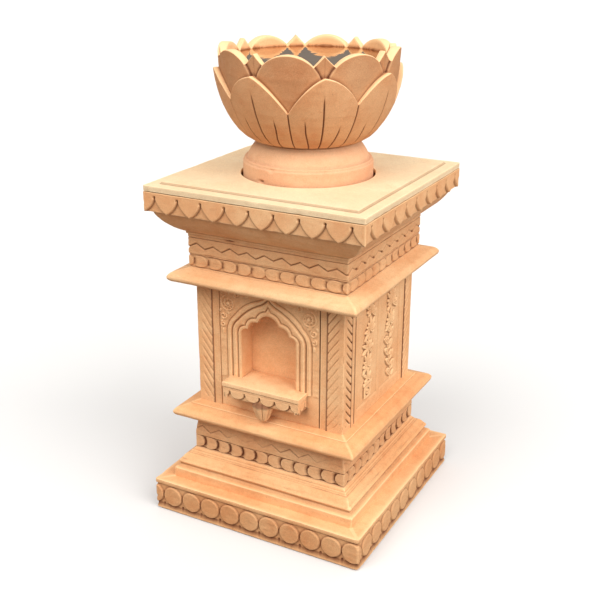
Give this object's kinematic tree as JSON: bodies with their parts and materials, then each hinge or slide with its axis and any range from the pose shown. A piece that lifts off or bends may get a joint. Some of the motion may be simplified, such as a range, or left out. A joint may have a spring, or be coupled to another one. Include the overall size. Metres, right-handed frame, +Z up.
{
  "type": "tulsi vrindavan planter",
  "caption": "Square carved stone pedestal planter with an arched lamp niche and a lift-out lotus bowl on a round foot, for growing and worshipping holy basil.",
  "frame": {"origin": "centre of the square base, on the ground", "axes": "+Z up along the pedestal; -Y is the face with the lamp niche; +X is the face to its right as a viewer looks at the niche"},
  "size_m": [0.45, 0.45, 0.9052],
  "materials": {
    "sandstone": "carved, rubbed smooth",
    "pale_sandstone": "sawn and rubbed smooth",
    "pink_sandstone": "carved, rubbed smooth",
    "dowel_steel": "plain round bar"
  },
  "bodies": {
    "pedestal": {"plinth_slab": "sandstone", "base_moulding": "sandstone", "lower_frieze": "sandstone", "upper_frieze": "sandstone", "lower_cornice": "sandstone", "upper_cornice": "sandstone", "shaft_foot_dowels": "dowel_steel", "shaft_head_dowels": "dowel_steel", "corner_post_front_right": "sandstone", "corner_post_back_right": "sandstone", "corner_post_back_left": "sandstone", "corner_post_front_left": "sandstone", "front_panel": "sandstone", "niche_back": "sandstone", "right_panel": "sandstone", "back_panel": "sandstone", "left_panel": "sandstone", "niche_shelf": "sandstone", "shelf_bracket": "sandstone", "shelf_pendant": "sandstone", "soffit_moulding": "sandstone", "petal_fringe": "sandstone", "top_slab": "pale_sandstone"},
    "pot_foot": {"pot_foot": "pink_sandstone"},
    "lotus_bowl": {"lotus_bowl": "pink_sandstone"}
  },
  "joints": [
    {"name": "pot_lift", "type": "slide", "parent": "pedestal", "child": "pot_foot", "axis": [0, 0, 1], "range_m": [0, 0.25]},
    {"name": "bowl_turn", "type": "hinge", "parent": "pot_foot", "child": "lotus_bowl", "pos_m": [0, 0, 0.7353], "axis": [0, 0, 1], "continuous": true}
  ]
}
